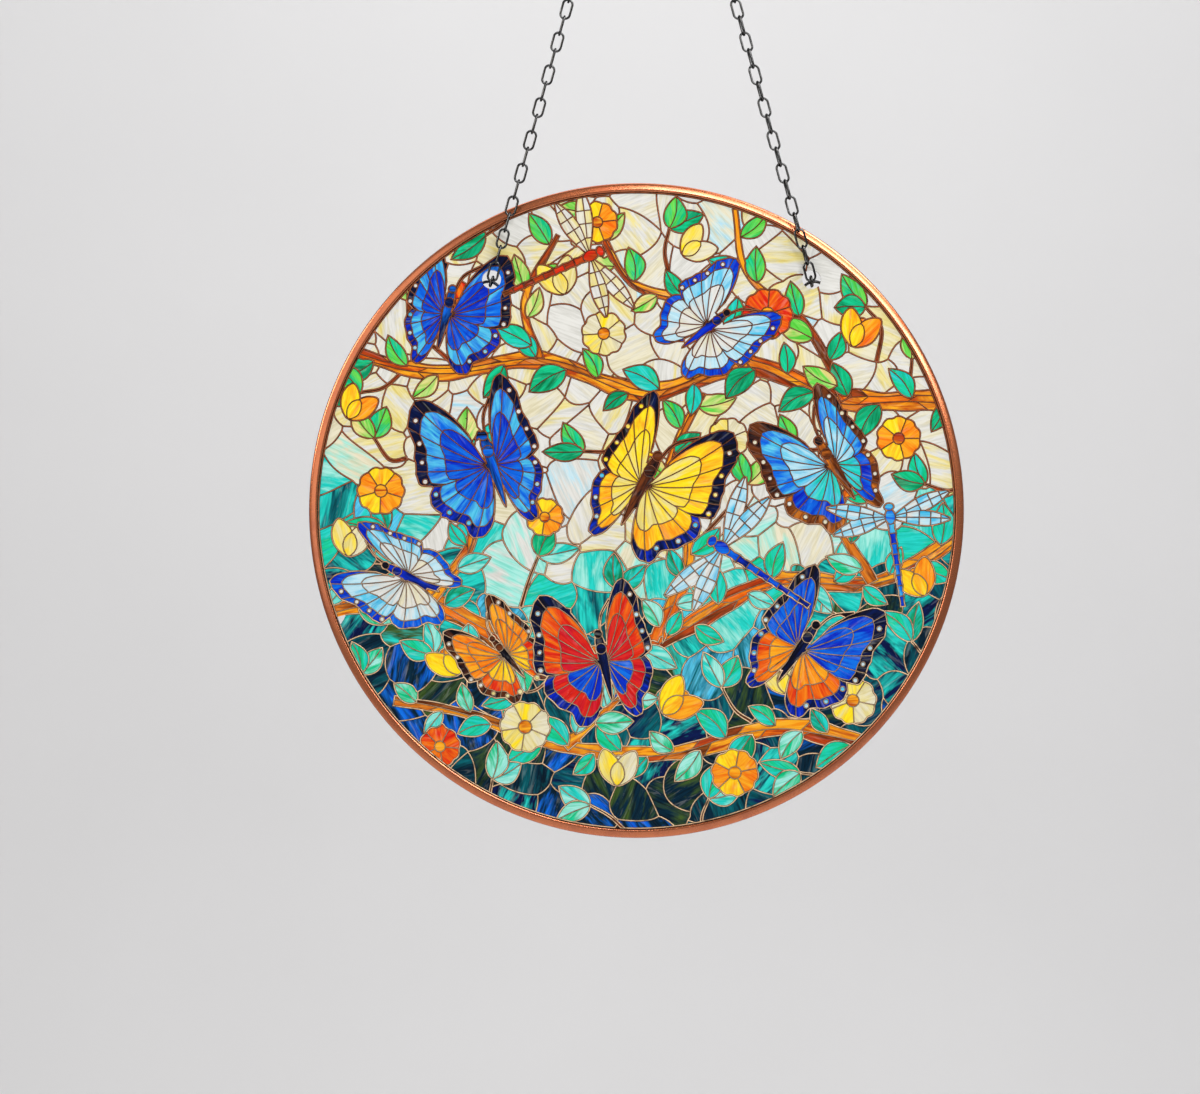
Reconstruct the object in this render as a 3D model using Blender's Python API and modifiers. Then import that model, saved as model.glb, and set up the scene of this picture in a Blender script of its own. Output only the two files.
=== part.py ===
# A round faux stained glass suncatcher: a printed panel in a copper rim, hung on
# two lengths of cable chain from one ring.
# Metres, +Z up. The front faces -Y. The origin is where the ring bears on its
# hook: the top of the ring's bore, in the plane of the ring and the chains.

import math

import bmesh
import bpy
from mathutils import Matrix, Vector

# The disc
DISC_DIAMETER = 0.200  # over the rim
DISC_SHIFT = -0.0046  # the disc's centre from the middle between its two holes
PANEL_THICKNESS = 0.0025
DISC_STEPS = 72

# The rim, a channel with a rounded back
RIM_WIDTH = 0.003  # from its lips to its back
RIM_PROUD = 0.0009  # how far a lip stands out from the panel
RIM_SQUARENESS = 2.5  # 2 gives a plain ellipse, more gives fuller corners
RIM_LAP = 0.001  # how far the panel goes in under the lips
RIM_STEPS = 10

# The chains
WIRE_DIAMETER = 0.00072
LINK_LENGTH = 0.0065  # outside
LINK_WIDTH = 0.0036  # outside
LINK_PAIRS = 17  # pairs of links from the panel up to the ring
LINK_STEPS = 8
WIRE_SIDES = 4

# The two holes in the panel, each round one link
HOLE_CLEARANCE = 0.0011  # round the link, which lies half of this low
HOLE_SPACING = 0.0977
HOLE_INSET = 0.0115  # of the hole nearer the rim, from the rim's outer edge
HOLE_STEPS = 24

# The ring that goes over the hook
RING_BORE = 0.013
RING_WIRE = 0.0014
RING_STEPS = 36
RING_SIDES = 8

# The rings behind the panel that keep the chains in their holes
STOP_LAP = 0.0016  # how far a ring's edge passes the size of its hole
STOP_WIRE = 0.0009
STOP_STEPS = 20
STOP_SIDES = 6

# Fits
GAP = 0.0003  # between pieces that touch or seat
BITE = 0.00006  # how deep two links of a chain are let into each other
CUT_OVER = 0.002  # how far a drill passes each face of the panel
MERGE = 0.00001

# Depths, from the plane of the ring and the chains back
RIM_DEPTH = PANEL_THICKNESS + 2 * RIM_PROUD
DISC_DEPTH = RIM_DEPTH / 2 + LINK_WIDTH / 2 + GAP
PANEL_FRONT = DISC_DEPTH - PANEL_THICKNESS / 2
STOP_DEPTH = DISC_DEPTH + PANEL_THICKNESS / 2 + GAP + STOP_WIRE / 2

# The length inside a link, whose ends are straight runs of the wire and so a
# little thinner, and the length from link to link. The link in the hole reaches
# round the stop ring's wire, and the next link hangs in its front end.
END_SHARE = math.cos(math.pi / LINK_STEPS)
LINK_INSIDE = LINK_LENGTH - WIRE_DIAMETER * (1 + END_SHARE)
PITCH = LINK_INSIDE + BITE
HOLE_LINK_DEPTH = STOP_DEPTH + STOP_WIRE / 2 + GAP - LINK_INSIDE / 2
ENTRY_DEPTH = HOLE_LINK_DEPTH - LINK_INSIDE / 2 + WIRE_DIAMETER / 2 - BITE

HOLE_DIAMETER = LINK_WIDTH + 2 * HOLE_CLEARANCE
HOLE_HEIGHT = math.sqrt(  # over the disc's centre
    (DISC_DIAMETER / 2 - HOLE_INSET) ** 2 - (HOLE_SPACING / 2 + abs(DISC_SHIFT)) ** 2
)
STOP_DIAMETER = HOLE_DIAMETER + 2 * STOP_LAP

# How far the rim's lips and the panel reach. The lips end where the rim's
# curve comes down to the groove.
SEAT = PANEL_THICKNESS / 2 + GAP  # half the groove's width
LIP_SHARE = (1 - (2 * SEAT / RIM_DEPTH) ** RIM_SQUARENESS) ** (1 / RIM_SQUARENESS)
RIM_MIDDLE = (DISC_DIAMETER - RIM_WIDTH) / 2
PANEL_RADIUS = RIM_MIDDLE - LIP_SHARE * RIM_WIDTH / 2 + RIM_LAP

COPPER = ("copper", (0.58, 0.21, 0.08), 0.30, 1.0)
STEEL = ("steel", (0.42, 0.42, 0.43), 0.22, 1.0)
PRINTED = ("printed_acrylic", (0.74, 0.78, 0.66), 0.12, 0.0)

# From a mesh's own Z to the front and back of the disc
FACING = Matrix.Rotation(math.pi / 2, 4, "X")


def chain_rises():
    """For each link over the hole's own: its reach along the slope, and its depth at foot and head.

    The chain leaves the hole, clears the panel's face and then lies in the ring's plane.
    """
    over_panel = PANEL_FRONT - LINK_WIDTH / 2 - GAP
    count = 2 * LINK_PAIRS
    depths = [ENTRY_DEPTH, over_panel, over_panel / 2] + [0.0] * (count - 2)
    lengths = [PITCH + WIRE_DIAMETER / 2] + [PITCH] * (count - 1)
    return [
        (math.sqrt(length**2 - (head - foot) ** 2), foot, head)
        for length, foot, head in zip(lengths, depths, depths[1:])
    ]


# Both chains point at the ring's centre, which gives the disc its height.
RING_CENTRE = Vector((0, 0, -RING_BORE / 2))
CHAIN_REACH = sum(reach for reach, foot, head in chain_rises()) + RING_BORE / 2 - GAP
CHAIN_SLANT = math.asin(HOLE_SPACING / 2 / CHAIN_REACH)
ENTRY_Z = RING_CENTRE.z - CHAIN_REACH * math.cos(CHAIN_SLANT)
HOLE_Z = ENTRY_Z + HOLE_CLEARANCE / 2
DISC_CENTRE = Vector((DISC_SHIFT, DISC_DEPTH, HOLE_Z - HOLE_HEIGHT))


def material(finish):
    """A Principled material from a finish's name, colour, roughness and metallic value."""
    name, colour, roughness, metallic = finish
    made = bpy.data.materials.get(name) or bpy.data.materials.new(name)
    made.use_nodes = True
    shader = made.node_tree.nodes["Principled BSDF"]
    shader.inputs["Base Color"].default_value = (*colour, 1.0)
    shader.inputs["Roughness"].default_value = roughness
    shader.inputs["Metallic"].default_value = metallic
    return made


def new_part(name, mesh, finish, parts, matrix=None):
    """A piece of the suncatcher."""
    mesh.name = name
    mesh.materials.append(material(finish))
    part = bpy.data.objects.new(name, mesh)
    part.matrix_world = matrix or Matrix.Identity(4)
    parts.objects.link(part)
    return part


def new_cutter(name, mesh, cutters, matrix=None):
    """A shape that cuts a piece or is joined to it, and isn't a piece itself."""
    mesh.name = name
    cutter = bpy.data.objects.new(name, mesh)
    cutter.matrix_world = matrix or Matrix.Identity(4)
    cutter.hide_render = True
    cutter.display_type = "WIRE"
    cutters.objects.link(cutter)
    return cutter


def taken_mesh():
    """The mesh of the primitive just added, whose object is removed."""
    primitive = bpy.context.object
    mesh = primitive.data
    bpy.data.objects.remove(primitive)
    return mesh


def cylinder_mesh(radius, depth, steps):
    bpy.ops.mesh.primitive_cylinder_add(vertices=steps, radius=radius, depth=depth)
    mesh = taken_mesh()
    mesh.shade_smooth()
    mesh.set_sharp_from_angle(angle=math.radians(40))
    return mesh


def ring_mesh(outside, wire, steps, sides):
    """A closed ring of round wire about its own Z axis."""
    bpy.ops.mesh.primitive_torus_add(
        major_radius=(outside - wire) / 2,
        minor_radius=wire / 2,
        major_segments=steps,
        minor_segments=sides,
    )
    mesh = taken_mesh()
    mesh.shade_smooth()
    return mesh


def link_mesh():
    """One link: a ring of wire drawn out along Z, with Y through its eye.

    The ring is turned half a step, so each end is a straight run across Z.
    """
    width_over_corners = (LINK_WIDTH - WIRE_DIAMETER) / END_SHARE + WIRE_DIAMETER
    mesh = ring_mesh(width_over_corners, WIRE_DIAMETER, LINK_STEPS, WIRE_SIDES)
    mesh.transform(FACING @ Matrix.Rotation(math.pi / LINK_STEPS, 4, "Z"))
    for corner in mesh.vertices:
        corner.co.z += math.copysign((LINK_LENGTH - LINK_WIDTH) / 2, corner.co.z)
    return mesh


def link_matrix(head, along, eye):
    """Where a link goes whose upper end bears at head, from its long axis and its eye's axis."""
    turn = Matrix((eye.cross(along), eye, along)).transposed().to_4x4()
    return Matrix.Translation(head - along * PITCH / 2) @ turn


def chain_matrices(side):
    """Where one chain's links go, from the one in the hole up to the one on the ring."""
    back = Vector((0, 1, 0))
    up = Vector((-side * math.sin(CHAIN_SLANT), 0, math.cos(CHAIN_SLANT)))
    across = up.cross(back)
    base = Vector((side * HOLE_SPACING / 2, 0, ENTRY_Z))
    hole_link_back = base + back * (HOLE_LINK_DEPTH + PITCH / 2)
    matrices = [link_matrix(hole_link_back, back, across)]
    for number, (reach, foot_depth, head_depth) in enumerate(chain_rises()):
        foot = base + back * foot_depth
        base += up * reach
        head = base + back * head_depth
        along = (head - foot).normalized()
        edge_on = number % 2 == 1
        matrices.append(link_matrix(head, along, across if edge_on else along.cross(across)))
    return matrices


def links_mesh(link, matrices):
    """One mesh with a copy of the link at each place."""
    gathered = bmesh.new()
    for matrix in matrices:
        copy = link.copy()
        copy.transform(matrix)
        gathered.from_mesh(copy)
        bpy.data.meshes.remove(copy)
    mesh = bpy.data.meshes.new("links")
    gathered.to_mesh(mesh)
    gathered.free()
    return mesh


def make_chain(side, name, parts, cutters):
    """One chain as a single piece: every second link is joined to those it hangs in."""
    link = link_mesh()
    matrices = chain_matrices(side)
    chain = new_part(name, links_mesh(link, matrices[0::2]), STEEL, parts)
    others = new_cutter(f"{name}_others", links_mesh(link, matrices[1::2]), cutters)
    join = chain.modifiers.new("join", "BOOLEAN")
    join.operation = "UNION"
    join.object = others


def make_stop_ring(side, name, parts):
    """The ring behind the panel. It hangs by its wire in the hole's link, across the hole."""
    up = Vector((-side * math.sin(CHAIN_SLANT), 0, math.cos(CHAIN_SLANT)))
    held = Vector((side * HOLE_SPACING / 2, STOP_DEPTH, ENTRY_Z))
    centre = held - up * (STOP_DIAMETER - STOP_WIRE) / 2
    mesh = ring_mesh(STOP_DIAMETER, STOP_WIRE, STOP_STEPS, STOP_SIDES)
    new_part(name, mesh, STEEL, parts, Matrix.Translation(centre) @ FACING)


def make_hanging_ring(parts):
    mesh = ring_mesh(RING_BORE + 2 * RING_WIRE, RING_WIRE, RING_STEPS, RING_SIDES)
    new_part("hanging_ring", mesh, STEEL, parts, Matrix.Translation(RING_CENTRE) @ FACING)


def make_panel(parts, cutters):
    """The printed panel, drilled through for the chains."""
    disc = cylinder_mesh(PANEL_RADIUS, PANEL_THICKNESS, DISC_STEPS)
    panel = new_part("printed_panel", disc, PRINTED, parts, Matrix.Translation(DISC_CENTRE) @ FACING)
    for side, side_name in ((-1, "left"), (1, "right")):
        hole = Vector((side * HOLE_SPACING / 2, DISC_DEPTH, HOLE_Z))
        bit = cylinder_mesh(HOLE_DIAMETER / 2, PANEL_THICKNESS + 2 * CUT_OVER, HOLE_STEPS)
        drill = new_cutter(f"drill_{side_name}", bit, cutters, Matrix.Translation(hole) @ FACING)
        cut = panel.modifiers.new(drill.name, "BOOLEAN")
        cut.operation = "DIFFERENCE"
        cut.object = drill


def rim_section():
    """The channel's outline, radius and height in turn: round its back, then its groove."""

    def on_curve(angle):
        out, up = math.cos(angle), math.sin(angle)
        power = 2 / RIM_SQUARENESS
        radius = RIM_MIDDLE + math.copysign(abs(out) ** power, out) * RIM_WIDTH / 2
        return radius, math.copysign(abs(up) ** power, up) * RIM_DEPTH / 2

    lip = math.pi - math.asin((2 * SEAT / RIM_DEPTH) ** (RIM_SQUARENESS / 2))
    back = [on_curve(lip - 2 * lip * step / RIM_STEPS) for step in range(RIM_STEPS + 1)]
    floor = PANEL_RADIUS + GAP
    return back + [(floor, -SEAT), (floor, SEAT)]


def make_rim(parts):
    """The copper channel, turned round the panel's edge."""
    outline = bmesh.new()
    corners = [outline.verts.new((radius, 0, height)) for radius, height in rim_section()]
    for corner, following in zip(corners, corners[1:] + corners[:1]):
        outline.edges.new((corner, following))
    mesh = bpy.data.meshes.new("rim")
    outline.to_mesh(mesh)
    outline.free()
    rim = new_part("copper_rim", mesh, COPPER, parts, Matrix.Translation(DISC_CENTRE) @ FACING)
    turn = rim.modifiers.new("turn", "SCREW")
    turn.steps = turn.render_steps = DISC_STEPS
    turn.use_merge_vertices = True
    turn.merge_threshold = MERGE


def main():
    for item in list(bpy.data.objects):
        bpy.data.objects.remove(item)
    parts = bpy.data.collections.new("suncatcher")
    cutters = bpy.data.collections.new("cutters")
    bpy.context.scene.collection.children.link(parts)
    bpy.context.scene.collection.children.link(cutters)
    make_hanging_ring(parts)
    for side, side_name in ((-1, "left"), (1, "right")):
        make_chain(side, f"chain_{side_name}", parts, cutters)
        make_stop_ring(side, f"stop_ring_{side_name}", parts)
    make_panel(parts, cutters)
    make_rim(parts)


main()
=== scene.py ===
# A faux stained glass suncatcher, dressed for its picture.
# Metres, +Z up, with the printed front towards -Y.

import math
import random

import bmesh
import bpy
from mathutils import Matrix, Vector
from mathutils.geometry import delaunay_2d_cdt


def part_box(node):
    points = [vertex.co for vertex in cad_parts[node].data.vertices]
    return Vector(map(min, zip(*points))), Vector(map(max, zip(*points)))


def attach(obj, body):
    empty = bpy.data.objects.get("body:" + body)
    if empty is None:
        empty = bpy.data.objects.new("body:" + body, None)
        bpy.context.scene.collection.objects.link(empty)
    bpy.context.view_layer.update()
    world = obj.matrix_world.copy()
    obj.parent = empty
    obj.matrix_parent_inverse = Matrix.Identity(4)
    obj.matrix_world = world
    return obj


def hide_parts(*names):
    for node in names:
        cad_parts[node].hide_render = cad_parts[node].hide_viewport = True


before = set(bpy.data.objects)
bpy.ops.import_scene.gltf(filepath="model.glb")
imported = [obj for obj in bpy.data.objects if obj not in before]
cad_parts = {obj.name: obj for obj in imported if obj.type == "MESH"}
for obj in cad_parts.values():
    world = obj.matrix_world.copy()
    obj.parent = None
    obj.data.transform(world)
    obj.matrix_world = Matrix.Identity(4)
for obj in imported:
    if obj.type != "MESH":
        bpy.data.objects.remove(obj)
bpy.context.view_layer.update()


# The hanging ring
# A closed ring of polished steel wire that goes over the hook. Its two ends are
# butted together, and the joint shows as a fine groove round the wire.

RING_STEPS, RING_SIDES = 120, 20
JOINT_WIDTH = 0.00012
JOINT_DEPTH = 0.00009
ON_JOINT = 0.000001  # how near a corner is to the joint's plane
SCRATCH_DEPTH = 0.00002


def middle_and_size(node):
    """The middle of a node's box and its lengths along X, Y and Z."""
    low, high = (Vector(corner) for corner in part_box(node))
    return (low + high) / 2, high - low


def edit(piece):
    """Makes a piece the only one selected and opens it in edit mode with nothing selected."""
    if bpy.context.mode != "OBJECT":
        bpy.ops.object.mode_set(mode="OBJECT")
    bpy.ops.object.select_all(action="DESELECT")
    piece.select_set(True)
    bpy.context.view_layer.objects.active = piece
    bpy.ops.object.mode_set(mode="EDIT")
    bpy.ops.mesh.select_all(action="DESELECT")
    return bmesh.from_edit_mesh(piece.data)


def select_corners(piece, chosen):
    """In edit mode, selects the corners whose place answers the rule."""
    bpy.ops.mesh.select_mode(type="VERT")
    cage = bmesh.from_edit_mesh(piece.data)
    for corner in cage.verts:
        corner.select = bool(chosen(corner.co))
    cage.select_flush_mode()
    bmesh.update_edit_mesh(piece.data)


def placed(piece):
    """Applies a piece's place and turn to its mesh, so its object sits at the origin."""
    bpy.ops.object.mode_set(mode="OBJECT")
    bpy.ops.object.select_all(action="DESELECT")
    piece.select_set(True)
    bpy.context.view_layer.objects.active = piece
    bpy.ops.object.transform_apply(location=True, rotation=True, scale=True)
    bpy.ops.object.shade_smooth()
    return piece


def wire_ring(name, centre, outside, wire, steps, sides):
    """A ring of round wire that faces the front, with the butt joint at one side."""
    bpy.ops.mesh.primitive_torus_add(
        major_radius=(outside - wire) / 2,
        minor_radius=wire / 2,
        major_segments=steps,
        minor_segments=sides,
    )
    ring = bpy.context.object
    ring.name = ring.data.name = name
    edit(ring)
    select_corners(ring, lambda co: abs(co.y) < ON_JOINT and co.x > 0)
    bpy.ops.mesh.bevel(offset=JOINT_WIDTH, segments=2, affect="EDGES")
    select_corners(ring, lambda co: abs(co.y) < ON_JOINT and co.x > 0)
    bpy.ops.transform.shrink_fatten(value=-JOINT_DEPTH)
    bpy.ops.mesh.select_all(action="SELECT")
    bpy.ops.mesh.normals_make_consistent(inside=False)
    bpy.ops.object.mode_set(mode="OBJECT")
    ring.rotation_euler = (math.pi / 2, 0, 0)
    ring.location = centre
    return placed(ring)


def add(tree, kind, inputs=(), **settings):
    """A node with its settings, and its inputs given as values or as other nodes' outputs."""
    made = tree.nodes.new(kind)
    for name, value in settings.items():
        setattr(made, name, value)
    for name, value in dict(inputs).items():
        if isinstance(value, bpy.types.NodeSocket):
            tree.links.new(value, made.inputs[name])
        else:
            made.inputs[name].default_value = value
    return made


def maths(tree, operation, first, second=0.0, clamped=False):
    made = add(tree, "ShaderNodeMath", {0: first, 1: second}, operation=operation)
    made.use_clamp = clamped
    return made.outputs[0]


def blended(tree, share, first, second, blend_type="MIX"):
    """One colour going over to another by a share of 0 to 1."""
    made = add(tree, "ShaderNodeMix", data_type="RGBA", blend_type=blend_type)
    for socket, value in ((0, share), (6, first), (7, second)):
        if isinstance(value, bpy.types.NodeSocket):
            tree.links.new(value, made.inputs[socket])
        else:
            made.inputs[socket].default_value = value
    return made.outputs[2]


def spread(tree, value, low, high):
    """A value stretched so that low becomes 0 and high becomes 1."""
    made = add(tree, "ShaderNodeMapRange", {"Value": value, "From Min": low, "From Max": high})
    return made.outputs["Result"]


def metal_wear():
    """A group: the tarnish, fingermarks and fine scratches of handled bare metal."""
    group = bpy.data.node_groups.new("metal_wear", "ShaderNodeTree")
    for name, default in (("Patch Size", 300.0), ("Scratch Size", 4000.0), ("Roughness", 0.2)):
        socket = group.interface.new_socket(name, in_out="INPUT", socket_type="NodeSocketFloat")
        socket.default_value = default
    for name in ("Tarnish", "Roughness", "Height"):
        group.interface.new_socket(name, in_out="OUTPUT", socket_type="NodeSocketFloat")
    given = add(group, "NodeGroupInput").outputs
    place = add(group, "ShaderNodeTexCoord").outputs["Object"]
    patches = add(
        group,
        "ShaderNodeTexNoise",
        {"Vector": place, "Scale": given["Patch Size"], "Detail": 5.0, "Roughness": 0.62},
    )
    scratches = add(
        group,
        "ShaderNodeTexNoise",
        {"Vector": place, "Scale": given["Scratch Size"], "Detail": 2.0, "Distortion": 1.6},
    )
    tarnish = spread(group, patches.outputs["Fac"], 0.46, 0.74)
    marks = spread(group, scratches.outputs["Fac"], 0.35, 0.75)
    rough = maths(group, "ADD", given["Roughness"], maths(group, "MULTIPLY", tarnish, 0.12))
    rough = maths(group, "ADD", rough, maths(group, "MULTIPLY", marks, 0.06))
    add(group, "NodeGroupOutput", {"Tarnish": tarnish, "Roughness": rough, "Height": marks})
    return group


def metal(name, wear, clean, tarnished, edge, patch, scratch, roughness, bump):
    """A bare metal: its colour clean, tarnished and seen edge-on, and how it is worn."""
    made = bpy.data.materials.new(name)
    made.use_nodes = True
    tree = made.node_tree
    shader = tree.nodes["Principled BSDF"]
    sizes = {"Patch Size": patch, "Scratch Size": scratch, "Roughness": roughness}
    worn = add(tree, "ShaderNodeGroup", sizes, node_tree=wear).outputs
    colour = blended(tree, worn["Tarnish"], (*clean, 1), (*tarnished, 1))
    relief = add(
        tree,
        "ShaderNodeBump",
        {"Height": worn["Height"], "Strength": bump, "Distance": SCRATCH_DEPTH},
    )
    shader.inputs["Metallic"].default_value = 1.0
    shader.inputs["Specular Tint"].default_value = (*edge, 1)
    tree.links.new(colour, shader.inputs["Base Color"])
    tree.links.new(worn["Roughness"], shader.inputs["Roughness"])
    tree.links.new(relief.outputs["Normal"], shader.inputs["Normal"])
    return made


def dressed(piece, material, slot, *nodes):
    """Gives a finished piece its material and its body, and hides the nodes it stands for. Its slot is not
    used.
    """
    piece.data.materials.clear()
    piece.data.materials.append(material)
    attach(piece, "root")
    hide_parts(*nodes)


wear_group = metal_wear()
steel = metal(
    "polished_steel",
    wear_group,
    clean=(0.12, 0.12, 0.122),
    tarnished=(0.03, 0.029, 0.028),
    edge=(0.0, 0.0, 0.0),
    patch=260.0,
    scratch=5200.0,
    roughness=0.09,
    bump=0.25,
)
ring_centre, ring_size = middle_and_size("hanging_ring")
hanging_ring = wire_ring(
    "steel_hanging_ring", ring_centre, ring_size.x, ring_size.y, RING_STEPS, RING_SIDES
)
dressed(hanging_ring, steel, "rings", "hanging_ring")


# The stop rings
# One small closed ring of steel wire behind the panel at each hole. The chain's
# last link reaches through the hole and holds it by its wire.

STOP_STEPS, STOP_SIDES = 72, 14
NODE_WIRE_SHARE = math.sin(math.pi / 3)  # the node's wire has six sides, two of them upright

for side in ("left", "right"):
    node = f"stop_ring_{side}"
    centre, size = middle_and_size(node)
    wire = size.y / NODE_WIRE_SHARE
    centre.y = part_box(node)[0][1] + size.y / 2
    stop_ring = wire_ring(f"steel_{node}", centre, size.x, wire, STOP_STEPS, STOP_SIDES)
    dressed(stop_ring, steel, "rings", node)


# The chains
# Cable chain of round steel wire, each link closed on itself and turned a
# quarter to the next. It runs straight from the ring down to its hole in the
# panel, and the last link goes through the hole.

CHAIN_WIRE = 0.0007
LINK_WIDTH = 0.0036
LINK_PAIRS = 17
LINK_STEPS, LINK_SIDES = 28, 10
FIT = 0.0003  # between the chain and the pieces it hangs on
LET_IN = 0.00001  # how deep two links press into each other
LEAN_LOSS = 0.012  # of a link, lost where the chain leans forward over the panel
INSIDE_EDGE = 0.48  # of the panel's width; its corners nearer the middle are round a hole


def panel_holes():
    """The middle of each drilled hole, from the corners of the panel's node that lie round it."""
    centre, size = middle_and_size("printed_panel")
    corners = [corner.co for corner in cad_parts["printed_panel"].data.vertices]
    inner = [co for co in corners if (co - centre).xz.length < INSIDE_EDGE * size.x]
    holes = {}
    for side, name in ((-1, "left"), (1, "right")):
        ring = [co for co in inner if (co.x - centre.x) * side > 0]
        low = Vector([min(co[axis] for co in ring) for axis in range(3)])
        high = Vector([max(co[axis] for co in ring) for axis in range(3)])
        holes[name] = ((low + high) / 2, (high.x - low.x) / 2)
    return holes


def one_link(length):
    """A link along Z with its eye facing Y: a ring of wire whose halves are drawn apart."""
    bpy.ops.mesh.primitive_torus_add(
        major_radius=(LINK_WIDTH - CHAIN_WIRE) / 2,
        minor_radius=CHAIN_WIRE / 2,
        major_segments=LINK_STEPS,
        minor_segments=LINK_SIDES,
        rotation=(math.pi / 2, 0, math.pi / LINK_STEPS),
    )
    link = placed(bpy.context.object)
    link.data.transform(Matrix.Rotation(math.pi / LINK_STEPS, 4, "Y"))
    edit(link)
    for direction in (-1, 1):
        bpy.ops.mesh.select_all(action="DESELECT")
        select_corners(link, lambda co: co.z * direction > 0)
        drawn = direction * (length - LINK_WIDTH) / 2
        bpy.ops.transform.translate(value=(0, 0, drawn))
    bpy.ops.object.mode_set(mode="OBJECT")
    return link


def set_up(middle, along, eye):
    """A link's place, from its middle, its long axis and the axis through its eye."""
    turn = Matrix((eye.cross(along), eye, along)).transposed().to_4x4()
    return Matrix.Translation(middle) @ turn


holes = panel_holes()
bore = ring_size.x / 2 - ring_size.y
panel_low, panel_high = (Vector(corner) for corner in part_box("printed_panel"))
spacing = holes["right"][0].x - holes["left"][0].x
chain_foot_z = holes["left"][0].z - (holes["left"][1] - LINK_WIDTH / 2) / 2
slant = math.atan2(spacing / 2, ring_centre.z - chain_foot_z)
reach = math.hypot(spacing / 2, ring_centre.z - chain_foot_z) - bore + FIT
pitch = (reach - CHAIN_WIRE / 2) / (2 * LINK_PAIRS - LEAN_LOSS)
link_length = pitch + 2 * CHAIN_WIRE - LET_IN
hole_link_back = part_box("stop_ring_left")[1][1] + FIT
hole_link_depth = hole_link_back - pitch / 2
entry_depth = hole_link_depth - pitch / 2 + CHAIN_WIRE / 2
over_panel = panel_low.y - LINK_WIDTH / 2 - FIT

for side, name in ((-1, "chain_left"), (1, "chain_right")):
    back = Vector((0, 1, 0))
    up = Vector((-side * math.sin(slant), 0, math.cos(slant)))
    across = up.cross(back)
    foot = Vector((side * spacing / 2, 0, chain_foot_z))
    places = [set_up(foot + back * hole_link_depth, back, across)]
    depths = [entry_depth, over_panel, over_panel / 2] + [0.0] * (2 * LINK_PAIRS - 2)
    for number in range(2 * LINK_PAIRS):
        length = pitch + (CHAIN_WIRE / 2 if number == 0 else 0)
        rise = math.sqrt(length**2 - (depths[number + 1] - depths[number]) ** 2)
        start = foot + back * depths[number]
        foot = foot + up * rise
        head = foot + back * depths[number + 1]
        along = (head - start).normalized()
        eye = across if number % 2 else along.cross(across)
        places.append(set_up(head - along * pitch / 2, along, eye))
    pattern = one_link(link_length)
    links = []
    for place in places:
        link = pattern.copy()
        link.data = pattern.data.copy()
        link.data.transform(place)
        bpy.context.collection.objects.link(link)
        links.append(link)
    bpy.data.objects.remove(pattern)
    bpy.ops.object.select_all(action="DESELECT")
    for link in links:
        link.select_set(True)
    bpy.context.view_layer.objects.active = links[0]
    bpy.ops.object.join()
    chain = bpy.context.object
    chain.name = chain.data.name = f"steel_{name}"
    bpy.ops.object.shade_smooth()
    dressed(chain, steel, "chain", name)


# The copper rim
# A lacquered copper channel, rolled round the panel and closed on itself. Its
# faces fall away from the lips, which are hemmed over the panel's edge, to a
# rounded back.

RIM_WIDTH = 0.00278  # from its lips to its back
RIM_SQUARENESS = 4.2
FACE_FALL = 0.0008  # how much lower a face is at the back than at the lip
RIM_TURNS = 240
BACK_STEPS = 40
HEM = 0.00022  # how thick a lip's rolled edge is
HEM_EASE = 0.1  # of the hem, by which its corner is eased
MERGE = 0.000002
RIM_GAP = 0.0003  # between the channel and the panel

rim_centre, rim_size = middle_and_size("copper_rim")
panel_thickness = panel_high.y - panel_low.y
panel_radius = (panel_high.z - panel_low.z) / 2


def rim_outline():
    """The channel's outline as radius and depth: round its back, then over the hems and the groove."""
    radius, depth = rim_size.x / 2 - RIM_WIDTH / 2, rim_size.y / 2
    seat = panel_thickness / 2 + RIM_GAP
    power = 2 / RIM_SQUARENESS
    lip = math.pi - math.asin(((seat + HEM / 2) / depth) ** (1 / power))
    outline = []
    for step in range(BACK_STEPS + 1):
        angle = lip - 2 * lip * step / BACK_STEPS
        out, up = math.cos(angle), math.sin(angle)
        across = math.copysign(abs(out) ** power, out)
        height = depth - FACE_FALL * (1 + across) / 2
        outline.append(
            (radius + across * RIM_WIDTH / 2, math.copysign(abs(up) ** power, up) * height)
        )
    lip_radius = outline[0][0]
    floor = panel_radius + RIM_GAP
    ease = HEM * HEM_EASE
    groove = [(lip_radius + ease, -seat - ease), (lip_radius + HEM / 2, -seat), (floor, -seat)]
    outline += groove + [(across, -height) for across, height in reversed(groove)]
    return outline


outline = rim_outline()
bpy.ops.mesh.primitive_circle_add(vertices=len(outline), radius=RIM_WIDTH)
rim = bpy.context.object
rim.name = rim.data.name = "rolled_copper_rim"
for corner, (across, height) in zip(rim.data.vertices, outline):
    corner.co = rim_centre + Vector((across, height, 0))
edit(rim)
rim.location = (0, 0, 0)
bpy.ops.mesh.select_all(action="SELECT")
bpy.ops.mesh.spin(steps=RIM_TURNS, angle=2 * math.pi, center=rim_centre, axis=(0, 1, 0))
bpy.ops.mesh.select_all(action="SELECT")
bpy.ops.mesh.remove_doubles(threshold=MERGE)
bpy.ops.mesh.normals_make_consistent(inside=False)
placed(rim)
rim.data.set_sharp_from_angle(angle=math.radians(50))
copper = metal(
    "polished_copper",
    wear_group,
    clean=(0.66, 0.158, 0.028),
    tarnished=(0.50, 0.092, 0.012),
    edge=(0.06, 0.01, 0.003),
    patch=90.0,
    scratch=2600.0,
    roughness=0.22,
    bump=0.06,
)
lacquer = copper.node_tree.nodes["Principled BSDF"].inputs
lacquer["Coat Weight"].default_value = 1.0
lacquer["Coat IOR"].default_value = 1.8
lacquer["Coat Roughness"].default_value = 0.2
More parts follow.
